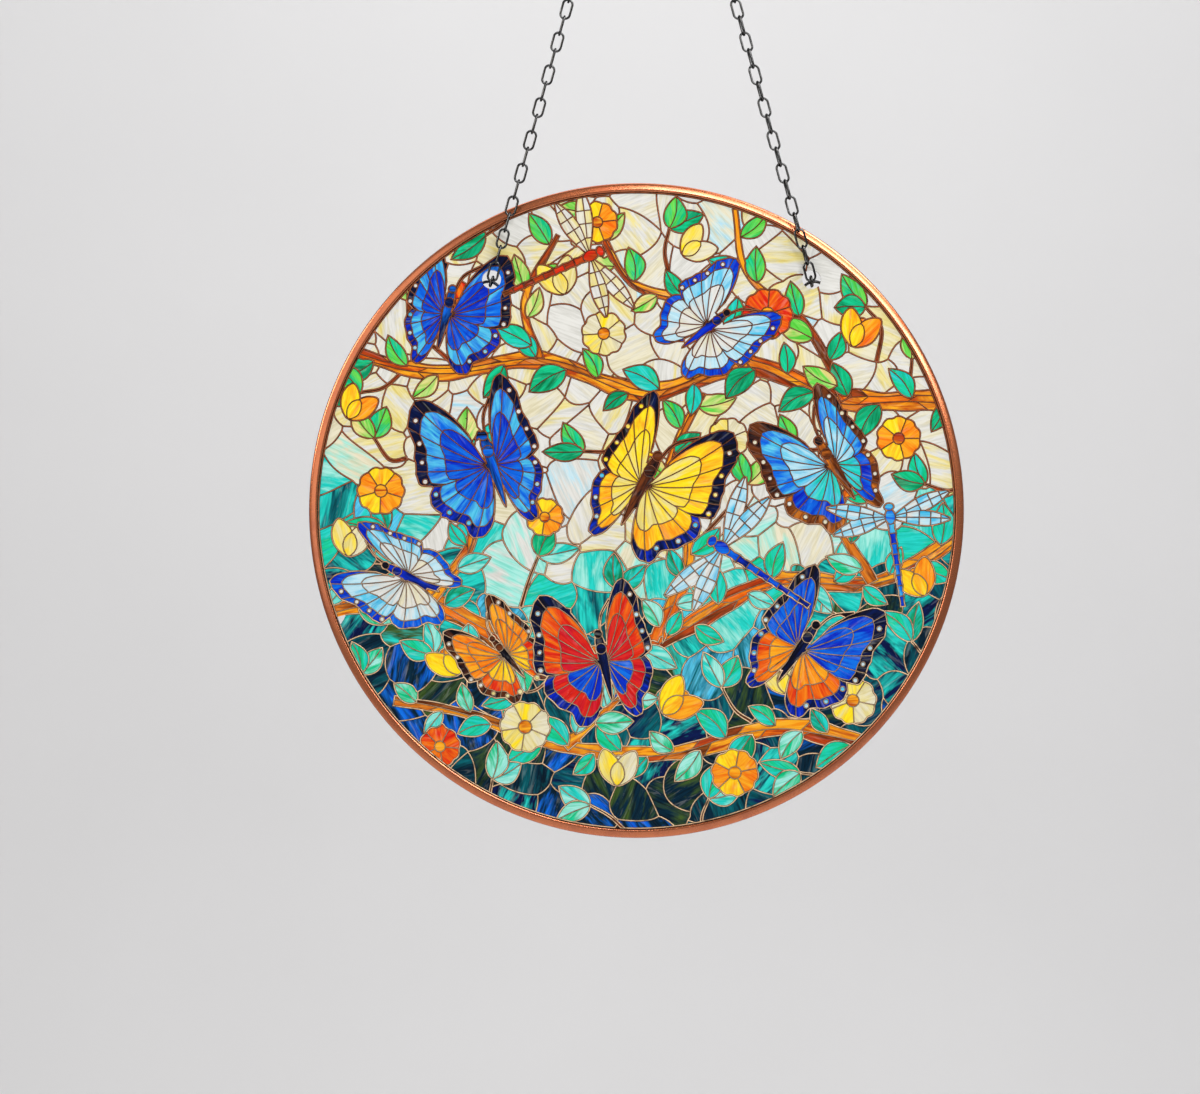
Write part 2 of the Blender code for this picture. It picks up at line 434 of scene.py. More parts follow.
dressed(rim, copper, "copper_rim", "copper_rim")


# The picture
# A sheet of clear acrylic printed with panes of streaky, milky colour: cream
# glass above, turquoise and deep teal below, and over it amber branches, green
# leaves, blossoms, butterflies and dragonflies. It is laid out in millimetres
# from the middle of the sheet, right and up.

MM = 0.001
STEP = 1.0  # between the corners of a drawn line
PANE_SIZE = 13.0  # of the plain panes behind the figures
ROW_SHARE = 0.86  # the height of a row of them against their width
STRAY = 4.6  # how far a plain pane strays from its row
EDGE_AND_SHADOW_BAND = 0.45  # of the dark band, seen inside the rim's lips: partly the sheet's edge line, partly a painted shadow of the lips
SMALLEST = 1.3  # square millimetres; a smaller pane goes to its neighbour
PASSES = 3  # how often the small panes are looked for

WHITE = (0.72, 0.72, 0.69)
CREAM = (0.75, 0.71, 0.54)
STRAW = (0.78, 0.69, 0.29)
LEMON = (0.94, 0.74, 0.02)
GOLD = (0.90, 0.42, 0.02)
ORANGE = (0.86, 0.22, 0.01)
AMBER = (0.66, 0.20, 0.02)
RUST = (0.50, 0.07, 0.01)
RED = (0.72, 0.03, 0.01)
CRIMSON = (0.60, 0.01, 0.03)
BARK = (0.16, 0.04, 0.01)
COBALT = (0.003, 0.03, 0.56)
AZURE = (0.005, 0.16, 0.74)
SKY = (0.10, 0.56, 0.80)
PALE_BLUE = (0.50, 0.74, 0.84)
AQUA = (0.02, 0.62, 0.55)
PALE_AQUA = (0.36, 0.78, 0.70)
TEAL = (0.002, 0.125, 0.155)
DEEP = (0.001, 0.020, 0.042)
NAVY = (0.002, 0.009, 0.07)
EMERALD = (0.004, 0.30, 0.13)
JADE = (0.008, 0.58, 0.28)
LIME = (0.14, 0.66, 0.08)
MOSS = (0.05, 0.10, 0.02)
BLACK = (0.006, 0.005, 0.010)

draw = random.Random(20)
panes = []
figures = 0


def turned(point, angle):
    """A point of the picture turned about its middle, counterclockwise."""
    x, y = point
    return Vector(
        (
            x * math.cos(angle) - y * math.sin(angle),
            x * math.sin(angle) + y * math.cos(angle),
        )
    )


def area_of(outline):
    following = outline[1:] + outline[:1]
    return sum(a.x * b.y - b.x * a.y for a, b in zip(outline, following)) / 2


def pane(layer, figure, outline, colour, second, heading):
    """One pane of the picture: a closed outline with its two colours and the way its streaks run."""
    outline = [Vector(point) for point in outline]
    if area_of(outline) < 0:
        outline.reverse()
    panes.append(
        {
            "layer": layer,
            "figure": figure,
            "outline": outline,
            "colour": colour,
            "second": second,
            "heading": heading,
        }
    )


def new_figure():
    """The number of the next figure. The lines inside a figure are finer than those round it."""
    global figures
    figures += 1
    return figures


def along_curve(points, closed=False, step=STEP):
    """Evenly spaced points on a smooth curve through the points given."""
    points = [Vector(point) for point in points]
    count = len(points)
    if closed:
        spans = [[points[(i + k) % count] for k in (-1, 0, 1, 2)] for i in range(count)]
    else:
        ends = [2 * points[0] - points[1]] + points + [2 * points[-1] - points[-2]]
        spans = [ends[i : i + 4] for i in range(count - 1)]
    curve = []
    for before, start, end, after in spans:
        pieces = max(1, round((end - start).length / step))
        for piece in range(pieces):
            t = piece / pieces
            curve.append(
                0.5
                * (
                    2 * start
                    + (end - before) * t
                    + (2 * before - 5 * start + 4 * end - after) * t**2
                    + (3 * start - before - 3 * end + after) * t**3
                )
            )
    return curve if closed else curve + [points[-1]]


def straight(start, end, step=STEP):
    """Evenly spaced points from start on towards end, without the end itself."""
    start, end = Vector(start), Vector(end)
    pieces = max(1, round((end - start).length / step))
    return [start.lerp(end, piece / pieces) for piece in range(pieces)]


# The plain panes behind everything: irregular cells whose edges are bent by a
# slow wave, so they run in curves. Cream and straw above, going over to
# turquoise and then deep teal towards the foot and low on both sides.


def bent(point):
    """A point of the plain panes' straight edges moved by the wave that curves them."""
    x, y = point
    return Vector(
        (
            x + 2.3 * math.sin(y / 6.1 + 0.4) + 1.3 * math.sin((x + y) / 9.3),
            y + 2.3 * math.sin(x / 6.7 + 1.9) + 1.3 * math.sin((x - y) / 8.1),
        )
    )


def bowed(start, end):
    """Points from start on towards end, on a bow that is the same from either end."""
    first, last = sorted((start, end), key=lambda point: (round(point.x, 3), round(point.y, 3)))
    side = Vector((first.y - last.y, last.x - first.x))
    sag = 0.15 * math.sin(first.x * 7.3 + last.y * 5.1)
    points = straight(start, end, 1.2)
    for number, point in enumerate(points):
        t = number / len(points)
        points[number] = bent(point + side * (sag * 4 * t * (1 - t)))
    return points


def circumcentre(a, b, c):
    b, c = b - a, c - a
    scale = 2 * (b.x * c.y - b.y * c.x)
    return a + Vector(
        (
            (c.y * b.length_squared - b.y * c.length_squared) / scale,
            (b.x * c.length_squared - c.x * b.length_squared) / scale,
        )
    )


def plain_colours(place):
    """The two colours of a plain pane, by how low it lies and how near the sheet's sides."""
    depth = -place.y + 0.0042 * place.x**2 - 12 + draw.uniform(-9, 9)
    if depth < 4:
        first = draw.choice((WHITE, WHITE, WHITE, WHITE, CREAM))
        return first, draw.choice((CREAM, STRAW, WHITE, STRAW, PALE_BLUE, CREAM))
    if depth < 16:
        return draw.choice(((PALE_AQUA, WHITE), (CREAM, PALE_AQUA), (AQUA, PALE_AQUA)))
    if depth < 32:
        return draw.choice(((AQUA, PALE_AQUA), (AQUA, TEAL), (AQUA, JADE), (SKY, AQUA)))
    if depth < 44:
        return draw.choice(((TEAL, AQUA), (TEAL, DEEP), (TEAL, SKY), (DEEP, AQUA), (MOSS, AQUA)))
    return draw.choice(((DEEP, TEAL), (TEAL, NAVY), (DEEP, AZURE), (NAVY, AQUA), (DEEP, MOSS)))


def lay_plain_panes():
    reach = panel_radius / MM + 2 * PANE_SIZE
    rows = math.ceil(reach / PANE_SIZE / ROW_SHARE)
    sites = []
    for row in range(-rows, rows + 1):
        for column in range(-rows, rows + 1):
            x = (column + 0.5 * (row % 2)) * PANE_SIZE
            y = row * PANE_SIZE * ROW_SHARE
            if math.hypot(x, y) < reach:
                sites.append(
                    Vector((x + draw.uniform(-STRAY, STRAY), y + draw.uniform(-STRAY, STRAY)))
                )
    corners, _, triangles, _, _, _ = delaunay_2d_cdt(sites, [], [], 0, 0.01, True)
    around = {}
    for triangle in triangles:
        middle = circumcentre(*(Vector(corners[corner]) for corner in triangle))
        for corner in triangle:
            around.setdefault(corner, []).append(middle)
    joints = []
    for corner, middles in around.items():
        joints += [bent(middle) for middle in middles]
        site = Vector(corners[corner])
        if site.length > reach - PANE_SIZE:
            continue
        middles.sort(key=lambda middle: math.atan2(middle.y - site.y, middle.x - site.x))
        outline = []
        for start, end in zip(middles, middles[1:] + middles[:1]):
            outline += bowed(start, end)
        first, second = plain_colours(site)
        pane(0, -len(panes) - 1, outline, first, second, draw.uniform(0, math.pi))
    return joints


joints = lay_plain_panes()


# The twigs: thin, curling lines of dark wood between the plain panes, each in
# one sweep.


def twig(points, thick=1.0, thin=0.55, layer=0.5):
    """A thin twig along a curve, tapering to its tip."""
    figure = new_figure()
    spine = along_curve(points)
    count = len(spine) - 1
    sides = {-1: [], 1: []}
    for step, point in enumerate(spine):
        ahead = spine[min(step + 1, count)] - spine[max(step - 1, 0)]
        side = Vector((-ahead.y, ahead.x)).normalized()
        half = (thick + (thin - thick) * step / count) / 2
        for sign, line in sides.items():
            line.append(point + side * (sign * half))
    heading = math.atan2(spine[-1].y - spine[0].y, spine[-1].x - spine[0].x)
    pane(layer, figure, sides[-1] + sides[1][::-1], BARK, RUST, heading)


# The branches: long tapering bands of amber and red wood panes, cut across at
# a slant here and there as glass strips would be.


def branch(points, thick, thin, strands, layer=1):
    """A branch along a curve, from thick at its foot to thin at its tip."""
    figure = new_figure()
    spine = along_curve(points, step=1.0)
    count = len(spine) - 1
    phase = draw.uniform(0, 6)

    def edge(step, share):
        """The point at a share of the width, -1 to 1, beside the spine."""
        step = max(0, min(count, step))
        ahead = spine[min(step + 1, count)] - spine[max(step - 1, 0)]
        side = Vector((-ahead.y, ahead.x)).normalized()
        width = thick + (thin - thick) * step / count
        width *= 1 + 0.13 * math.sin(step / 5.3 + phase) + 0.07 * math.sin(step / 2.1)
        inner = abs(share) < 0.99
        wander = 0.28 * math.sin(step / 7.7 + phase * 2) if inner else 0
        return spine[step] + side * (share + wander) * width / 2

    shares = [-1 + 2 * strand / strands for strand in range(strands + 1)]
    woods = [(AMBER, GOLD), (ORANGE, RUST), (GOLD, AMBER), (RUST, BARK), (AMBER, BARK), (GOLD, RUST)]
    for strand in range(strands):
        low, high = shares[strand], shares[strand + 1]
        start = -draw.randint(0, 6)
        slope = draw.choice((-3, 3, 4))
        while start < count:
            end = start + draw.randint(13, 26)
            lower = range(max(start, 0), min(end, count) + 1)
            upper = range(max(start + slope, 0), min(end + slope, count) + 1)
            if end + max(slope, 0) >= count - 5:
                lower = range(lower[0], count + 1)
                upper = range(min(upper[0], count), count + 1)
                end = count
            outline = [edge(step, low) for step in lower]
            outline += [edge(step, high) for step in reversed(upper)]
            middle = spine[max(0, min(count - 1, (start + end) // 2))]
            ahead = spine[min(max(0, (start + end) // 2) + 1, count)] - middle
            first, second = draw.choice(woods)
            pane(layer, figure, outline, first, second, math.atan2(ahead.y, ahead.x))
            start = end
    return spine


# A leaf is two halves along a bowed midrib, a lighter and a darker one.

LEAF_STEPS = 11
GREENS = [
    (EMERALD, JADE), (JADE, LIME), (JADE, EMERALD), (LIME, JADE), (AQUA, JADE),
    (LIME, STRAW), (STRAW, LIME),
]
LOW_GREENS = [(AQUA, JADE), (AQUA, PALE_AQUA), (JADE, PALE_AQUA), (EMERALD, AQUA), (JADE, AQUA)]


def leaf(base, heading, length, width, paints=None, layer=3):
    figure = new_figure()
    base = Vector(base)
    bow = draw.uniform(-0.10, 0.10) * length
    if paints is None:
        low = -base.y + 0.004 * base.x**2 > draw.uniform(8, 28)
        paints = draw.choice(LOW_GREENS if low else GREENS)
    rib, sides = [], {-1: [], 1: []}
    for step in range(LEAF_STEPS + 1):
        t = step / LEAF_STEPS
        middle = Vector((length * t, bow * math.sin(math.pi * t)))
        half = width / 2 * math.sin(math.pi * t**0.86) ** 0.85 if 0 < t < 1 else 0
        rib.append(base + turned(middle, heading))
        for side in sides:
            sides[side].append(base + turned(middle + Vector((0, side * half)), heading))
    for side, outer in sides.items():
        first, second = paints if side == 1 else paints[::-1]
        outline = rib + outer[-2:0:-1]
        pane(layer, figure, outline, first, second, heading + side * 0.35)


def leaves_along(spine, every, first=4, length=11.0, layer=3):
    """Leaves in turn on both sides of a branch, on from its foot."""
    side = 1
    for step in range(first, len(spine) - 2, every):
        ahead = spine[step + 1] - spine[step]
        heading = math.atan2(ahead.y, ahead.x) + side * draw.uniform(0.55, 1.15)
        size = length * draw.uniform(0.8, 1.2)
        base = spine[step] + turned((1.0, 0), heading)
        leaf(base, heading, size, size * draw.uniform(0.50, 0.62), layer=layer)
        side = -side


# A blossom is open, five petals round a gold middle, or a cup of three or four
# petals seen from the side.


def blossom(middle, size, heading, paints, layer=4):
    figure = new_figure()
    middle = Vector(middle)
    for number in range(5):
        angle = heading + 2 * math.pi * number / 5
        outline = []
        for step in range(14):
            turn = -0.66 + 1.32 * step / 13
            notch = 1 - 0.10 * math.exp(-((turn / 0.16) ** 2))
            swell = math.cos(turn * 1.06) ** 0.42
            outline.append(middle + turned((size / 2 * swell * notch, 0), angle + turn))
        outline += straight(outline[-1], middle) + straight(middle, outline[0])
        first, second = paints[number % len(paints)]
        pane(layer + number * 0.01, figure, outline, first, second, angle)
    centre = [middle + turned((size * 0.13, 0), 2 * math.pi * step / 12) for step in range(12)]
    pane(layer + 0.1, figure, centre, GOLD, RUST, 0.0)


def cup(base, size, heading, paints, layer=4):
    """A tulip-like cup: the back petal first, then the two that fold over it."""
    figure = new_figure()
    base = Vector(base)
    shape = [(0.0, 0.78, 0.62), (0.42, 1.0, 0.52), (-0.42, 1.0, 0.52), (0.0, 0.62, 0.34)]
    for number, (lean, length, width) in enumerate(shape):
        first, second = paints[number % len(paints)]
        angle = heading + lean
        points = [(0, 0), (0.35, width / 2), (0.75, width * 0.46), (1, 0.0)]
        points += [(0.75, -width * 0.40), (0.35, -width / 2)]
        outline = along_curve(
            [base + turned((x * length * size, y * size), angle) for x, y in points], closed=True
        )
        pane(layer + number * 0.01, figure, outline, first, second, angle)


# A butterfly has two pairs of wings, each drawn about its root: rays part it
# into panes, and two bands run round its margin. One pair can be foreshortened.

FORE = [
    (-8, 0.34), (-2, 0.43), (8, 0.46), (18, 0.45), (30, 0.48), (42, 0.56),
    (50, 0.61), (56, 0.61), (62, 0.54), (67, 0.42), (72, 0.24),
]
HIND = [
    (-88, 0.18), (-80, 0.36), (-72, 0.45), (-64, 0.46), (-54, 0.40), (-40, 0.41),
    (-26, 0.43), (-12, 0.41), (-3, 0.34),
]


def reach_at(shape, degrees):
    """How far a wing reaches from its root in a direction, smoothly between the sizes given."""
    for (before, low), (after, high) in zip(shape, shape[1:]):
        if degrees <= after:
            share = (degrees - before) / (after - before)
            return low + (high - low) * share
    return shape[-1][1]


def wing(figure, layer, place, shape, rays, paints):
    """One wing. Place carries its own measure to the picture, and rays are where its veins run."""
    inner, middle, margin, spot = paints

    def at(share, degrees):
        scallop = 1 - 0.035 * abs(math.sin(math.radians(degrees) * 9)) * share
        angle = math.radians(degrees + 7 * (share - 0.5))
        radius = reach_at(shape, degrees) * share * scallop
        return place((0.025 + radius * math.cos(angle), radius * math.sin(angle)))

    for low, high in zip(rays, rays[1:]):
        for near, far, paint in ((0.04, 0.58, inner), (0.58, 0.84, middle), (0.84, 1.0, margin)):
            arc = [low + (high - low) * step / 9 for step in range(10)]
            outline = [at(near, degrees) for degrees in arc]
            outline += [at(near + (far - near) * step / 5, high) for step in range(1, 5)]
            outline += [at(far, degrees) for degrees in reversed(arc)]
            outline += [at(far + (near - far) * step / 5, low) for step in range(1, 5)]
            ray = at(1, (low + high) / 2) - at(0, (low + high) / 2)
            first, second = paint
            pane(layer, figure, outline, first, second, math.atan2(ray.y, ray.x))
        margin_length = (at(1, high) - at(1, low)).length
        if spot and 3 < margin_length < 10:
            centre = at(0.91, (low + high) / 2)
            size = 0.05 * margin_length + 0.45
            dot = [centre + turned((size, 0), math.pi * step / 4) for step in range(8)]
            pane(layer + 0.02, figure, dot, spot, WHITE, 0.0)


def butterfly(middle, span, heading, left, right, paints, layer=6):
    """A butterfly seen from above, with the share of its width that each pair of wings shows."""
    figure = new_figure()
    middle = Vector(middle)
    for side, share in ((-1, left), (1, right)):

        def place(point, side=side, share=share):
            x, y = point
            return middle + turned((x * span * side * share, y * span), heading)

        wing(figure, layer, place, HIND, (-88, -66, -46, -24, -3), paints["hind"])
        wing(figure, layer + 0.1, place, FORE, (-8, 10, 26, 40, 54, 72), paints["fore"])
        feeler = along_curve([(0.01, 0.17), (0.05 * side, 0.30), (0.16 * side, 0.40)], step=0.04)
        thick = 0.011
        outline = [middle + turned((p.x * span * share, p.y * span), heading) for p in feeler]
        outline += [
            middle + turned(((p.x + thick) * span * share, (p.y - thick) * span), heading)
            for p in reversed(feeler)
        ]
        pane(layer + 0.2, figure, outline, BLACK, BARK, heading)
    body = [(0, 0.20), (0.028, 0.15), (0.032, 0.05), (0.024, -0.12), (0.0, -0.27)]
    body += [(-x, y) for x, y in body[-2:0:-1]]
    outline = along_curve(
        [middle + turned((x * span, y * span), heading) for x, y in body], closed=True, step=0.7
    )
    first, second = paints["body"]
    pane(layer + 0.3, figure, outline, first, second, heading + math.pi / 2)
    for at, size, paint in ((0.185, 0.030, BLACK), (0.085, 0.036, first)):
        ball = [
            middle + turned((size * span * math.cos(t), (at + size * math.sin(t)) * span), heading)
            for t in (math.pi * step / 6 for step in range(12))
        ]
        pane(layer + 0.4, figure, ball, paint, second, 0.0)


# A dragonfly has a long jointed body and two pairs of narrow wings.


def dragonfly(middle, span, heading, body, wings, layer=6):
    figure = new_figure()
    middle = Vector(middle)

    def place(x, y):
        return middle + turned((x * span, y * span), heading)

    for side in (-1, 1):
        for lean, length in ((0.30, 0.50), (-0.16, 0.46)):
            cuts = [0.0, 0.24, 0.46, 0.66, 0.84, 1.0]
            for number, (near, far) in enumerate(zip(cuts, cuts[1:])):

                def half(t):
                    return 0.062 * math.sin(math.pi * (0.10 + 0.86 * t) ** 1.25)

                for low, high in ((-1, 0.1), (0.1, 1)):
                    shares = [near + (far - near) * step / 5 for step in range(6)]
                    points = [(t, low * half(t)) for t in shares]
                    points += [(t, high * half(t)) for t in reversed(shares)]
                    outline = []
                    for t, offset in points:
                        x = 0.02 + length * t * math.cos(lean) - offset * math.sin(lean)
                        y = 0.10 + length * t * math.sin(lean) + offset * math.cos(lean)
                        outline.append(place(side * x, y))
                    first, second = wings[(number + (low < 0)) % len(wings)]
                    pane(layer, figure, outline, first, second, heading + side * lean)
    for joint in range(8):
        top, foot = 0.06 - joint * 0.085, 0.06 - (joint + 1) * 0.085
        half = 0.030 - joint * 0.0015
        points = [(-half, top), (-half * 0.8, (top + foot) / 2), (-half, foot)]
        points += [(-x, y) for x, y in reversed(points)]
        first, second = body[joint % len(body)]
        outline = [place(x, y) for x, y in points]
        pane(layer + 0.2, figure, outline, first, second, heading + math.pi / 2)
    for at, wide, tall in ((0.11, 0.042, 0.062), (0.19, 0.040, 0.030)):
        ball = [
            place(wide * math.cos(t), at + tall * math.sin(t))
            for t in (math.pi * step / 7 for step in range(14))
        ]
        first, second = body[0]
        pane(layer + 0.3, figure, ball, first, second, 0.0)


# Where the figures are

lower = branch([(-99, -30), (-64, -28), (-30, -44), (6, -40), (40, -22), (72, -22), (99, -8)], 7.2, 4.2, 3)
foot = branch([(70, -72), (44, -66), (12, -74), (-22, -72), (-52, -62), (-74, -58)], 6.4, 2.6, 2)
rise = branch([(6, -40), (16, -14), (10, 12), (20, 36)], 4.6, 2.0, 2)
upper = branch([(99, 34), (64, 34), (34, 44), (2, 36), (-30, 46), (-62, 42), (-98, 52)], 6.6, 3.8, 3)
crown = branch([(34, 44), (20, 62), (-2, 70), (-14, 92)], 3.8, 1.6, 2)
left_arm = branch([(-64, -28), (-50, -8), (-56, 14), (-42, 28)], 4.2, 1.6, 2)
right_arm = branch([(72, -22), (62, -2), (70, 16)], 3.4, 1.5, 1)
low_arm = branch([(-22, -72), (-6, -58), (-2, -52)], 3.0, 1.4, 1)
sprig_a = branch([(64, 34), (52, 56), (34, 72), (30, 92)], 3.2, 1.3, 1)
sprig_b = branch([(-30, 46), (-34, 64), (-24, 84)], 3.2, 1.2, 1)

for spine, every in (
    (lower, 9), (foot, 8), (rise, 8), (upper, 10), (crown, 8), (left_arm, 8),
    (right_arm, 8), (low_arm, 6), (sprig_a, 8), (sprig_b, 8),
):
    leaves_along(spine, every)

for x, y, angle in (
    (-80, 22, 1.2), (-76, -6, 2.0), (-84, -50, 0.9), (-44, -82, 0.5), (-14, -90, 2.6), (22, -88, 0.3),
    (50, -80, 2.9), (84, -40, 1.4), (60, -50, 2.4), (88, 8, 1.9), (84, 46, 0.6), (70, 62, 2.2),
    (10, 86, 0.4), (-46, 84, 2.8), (-70, 64, 0.8), (-16, 18, 2.2), (34, 8, 0.9), (-30, -14, 0.2),
    (26, -54, 1.1), (-36, -56, 2.5), (-62, -44, 1.8), (-6, -24, 0.7), (48, 20, 2.0), (-84, 36, 2.4),
):
    base = Vector((x, y))
    curl = draw.choice((-0.5, 0.5))
    bend = base + turned((-8, 0), angle + 0.5 + curl)
    root = base + turned((-19, 0), angle + 0.5 + 1.7 * curl)
    twig([min(joints, key=lambda joint: (joint - root).length), bend, base])
    for lean in (0.0, 0.95):
        leaf(base, angle + lean, draw.uniform(9.5, 13), draw.uniform(5.4, 7.4))

blossom_paints = [(GOLD, ORANGE), (LEMON, GOLD)]
pale_paints = [(CREAM, STRAW), (STRAW, LEMON)]
red_paints = [(RED, ORANGE), (ORANGE, RED)]
for x, y, size, angle, paints in (
    (-78, 6, 15, 0.3, blossom_paints), (40, 60, 16, 0.9, red_paints),
    (-10, 54, 14, 0.1, pale_paints), (80, 22, 14, 0.6, blossom_paints),
    (-34, -66, 16, 0.2, pale_paints), (30, -80, 15, 0.8, blossom_paints),
    (-60, -72, 13, 0.5, red_paints), (66, -58, 15, 0.4, pale_paints),
    (-12, 88, 13, 0.7, blossom_paints), (28, 22, 13, 1.0, pale_paints),
    (-28, -2, 12, 0.2, blossom_paints),
):
    blossom((x, y), size, angle, paints)

for x, y, size, heading, paints in (
    (-22, 66, 12, 1.9, pale_paints), (66, 50, 12, 1.2, blossom_paints),
    (-88, -14, 12, 1.4, pale_paints), (8, -62, 13, 0.7, blossom_paints),
    (-6, -84, 12, 1.5, pale_paints), (88, -26, 12, 2.0, blossom_paints),
    (-50, 60, 11, 2.4, red_paints), (52, 4, 11, 1.0, pale_paints),
    (-54, -50, 12, 2.2, blossom_paints), (14, 78, 11, 0.6, pale_paints),
    (-88, 28, 11, 1.0, blossom_paints), (46, -56, 12, 1.8, pale_paints),
):
    cup((x, y), size, heading, paints)

BLUE_WINGS = {
    "fore": ((COBALT, AZURE), (AZURE, SKY), (NAVY, BLACK), WHITE),
    "hind": ((AZURE, COBALT), (SKY, AZURE), (COBALT, NAVY), SKY),
    "body": (NAVY, AZURE),
}
PALE_WINGS = {
    "fore": ((WHITE, PALE_BLUE), (PALE_BLUE, SKY), (COBALT, AZURE), WHITE),
    "hind": ((WHITE, CREAM), (PALE_BLUE, WHITE), (AZURE, COBALT), None),
    "body": (COBALT, NAVY),
}
YELLOW_WINGS = {
    "fore": ((LEMON, STRAW), (LEMON, GOLD), (BLACK, NAVY), LEMON),
    "hind": ((STRAW, LEMON), (GOLD, LEMON), (NAVY, COBALT), SKY),
    "body": (BLACK, BARK),
}
ORANGE_WINGS = {
    "fore": ((ORANGE, GOLD), (GOLD, ORANGE), (BLACK, BARK), WHITE),
    "hind": ((GOLD, LEMON), (ORANGE, RED), (BARK, BLACK), STRAW),
    "body": (BLACK, BARK),
}
RED_WINGS = {
    "fore": ((CRIMSON, RED), (RED, ORANGE), (NAVY, BLACK), PALE_BLUE),
    "hind": ((COBALT, AZURE), (RED, CRIMSON), (NAVY, COBALT), None),
    "body": (NAVY, BLACK),
}
DUSK_WINGS = {
    "fore": ((COBALT, AZURE), (AZURE, COBALT), (BLACK, NAVY), PALE_BLUE),
    "hind": ((GOLD, ORANGE), (ORANGE, RED), (NAVY, COBALT), SKY),
    "body": (NAVY, BLACK),
}
TURQUOISE_WINGS = {
    "fore": ((SKY, PALE_BLUE), (AZURE, SKY), (BARK, BLACK), CREAM),
    "hind": ((AQUA, SKY), (COBALT, AZURE), (BARK, AMBER), CREAM),
    "body": (BARK, AMBER),
}
for x, y, span, degrees, left, right, paints in (
    (-44, 14, 50, 18, 1.0, 0.66, BLUE_WINGS), (2, 8, 52, -28, 0.62, 1.0, YELLOW_WINGS),
    (60, 14, 46, 32, 1.0, 0.60, TURQUOISE_WINGS), (-70, -20, 40, 64, 0.9, 0.62, PALE_WINGS),
    (-10, -46, 46, 12, 1.0, 0.72, RED_WINGS), (50, -42, 46, -34, 0.70, 1.0, DUSK_WINGS),
    (22, 56, 38, -52, 0.9, 0.9, PALE_WINGS), (-58, 60, 42, -14, 0.66, 1.0, BLUE_WINGS),
    (-40, -44, 34, 40, 0.9, 0.7, ORANGE_WINGS),
):
    butterfly((x, y), span, math.radians(degrees), left, right, paints)

for x, y, span, degrees, body, wings in (
    (30, -14, 44, 56, ((AZURE, COBALT), (COBALT, NAVY)), ((PALE_BLUE, SKY), (WHITE, PALE_BLUE))),
    (-18, 76, 40, -66, ((RED, RUST), (BARK, RED)), ((CREAM, STRAW), (WHITE, CREAM))),
    (78, -6, 38, 8, ((AZURE, SKY), (COBALT, AZURE)), ((SKY, PALE_BLUE), (PALE_BLUE, WHITE))),
):
    dragonfly((x, y), span, math.radians(degrees), body, wings)

# The dark band under the rim's lips, partly the sheet's edge line and partly a
# painted shadow of the lips, a plain pane under everything for what the others
# leave open, and the two drilled holes, where there is no picture

sheet_edge = panel_radius / MM
band_inside = (rim_size.x / 2 - RIM_WIDTH) / MM - EDGE_AND_SHADOW_BAND + 0.2
ROUND_STEPS = 360
rings = [
    [turned((radius, 0), 2 * math.pi * step / ROUND_STEPS) for step in range(ROUND_STEPS)]
    for radius in (band_inside, sheet_edge)
]
# The band is near-black all round: partly the sheet's edge line and partly a painted shadow of the rim's
# lips.
for step in range(0, ROUND_STEPS, 60):
    span = [(step + k) % ROUND_STEPS for k in range(61)]
    outline = [rings[0][k] for k in span] + [rings[1][k] for k in reversed(span)]
    pane(20, 0, outline, BARK, BLACK, 0.0)
pane(-1, new_figure(), rings[1], CREAM, WHITE, 0.0)
HOLE = -1
sheet_centre = (panel_low + panel_high) / 2
for place, radius in holes.values():
    at = (place - sheet_centre).xz / MM
    outline = [at + turned((radius / MM, 0), math.pi * step / 24) for step in range(48)]
    pane(30, HOLE, outline, BLACK, BLACK, 0.0)


# From the overlapping outlines to one map: every pane shows only where nothing
# lies over it, and what is left too small to see goes to its neighbour.


def picture_map():
    points, outlines = [], []
    for each in panes:
        outlines.append(list(range(len(points), len(points) + len(each["outline"]))))
        points += each["outline"]
    corners, _, triangles, _, _, covers = delaunay_2d_cdt(points, [], outlines, 1, 0.02, True)
    corners = [Vector(corner) for corner in corners]
    covered = {}
    for triangle, over in zip(triangles, covers):
        a, b, c = (corners[corner] for corner in triangle)
        for number in over:
            covered[number] = covered.get(number, 0) + abs((b - a).cross(c - a)) / 2
    # a pane may come back as everything that is outside it
    inside_out = {
        number
        for number, area in covered.items()
        if area > 2 * area_of(panes[number]["outline"]) + PANE_SIZE**2
    }
    kept, top = [], []
    for triangle, over in zip(triangles, covers):
        over = inside_out.symmetric_difference(over)
        middle = sum((corners[corner] for corner in triangle), Vector((0, 0))) / 3
        if not over or middle.length > sheet_edge:
            continue
        kept.append(tuple(triangle))
        top.append(max(over, key=lambda number: (panes[number]["layer"], number)))
    return corners, kept, top


corners, triangles, top = picture_map()
beside = {}
for number, triangle in enumerate(triangles):
    for a, b in zip(triangle, triangle[1:] + triangle[:1]):
        beside[a, b] = number


def neighbours(number):
    triangle = triangles[number]
    for a, b in zip(triangle, triangle[1:] + triangle[:1]):
        other = beside.get((b, a))
        if other is not None:
            yield other, (corners[a] - corners[b]).length


def patches():
    """The map's connected patches, each a list of triangles with the same pane on top."""
    patch_of, found = {}, []
    for start in range(len(triangles)):
        if start in patch_of:
            continue
        patch_of[start] = len(found)
        patch = [start]
        for number in patch:
            for other, _ in neighbours(number):
                if other not in patch_of and top[other] == top[start]:
                    patch_of[other] = len(found)
                    patch.append(other)
        found.append(patch)
    return found, patch_of


def triangle_area(number):
    a, b, c = (corners[corner] for corner in triangles[number])
    return (b - a).cross(c - a) / 2


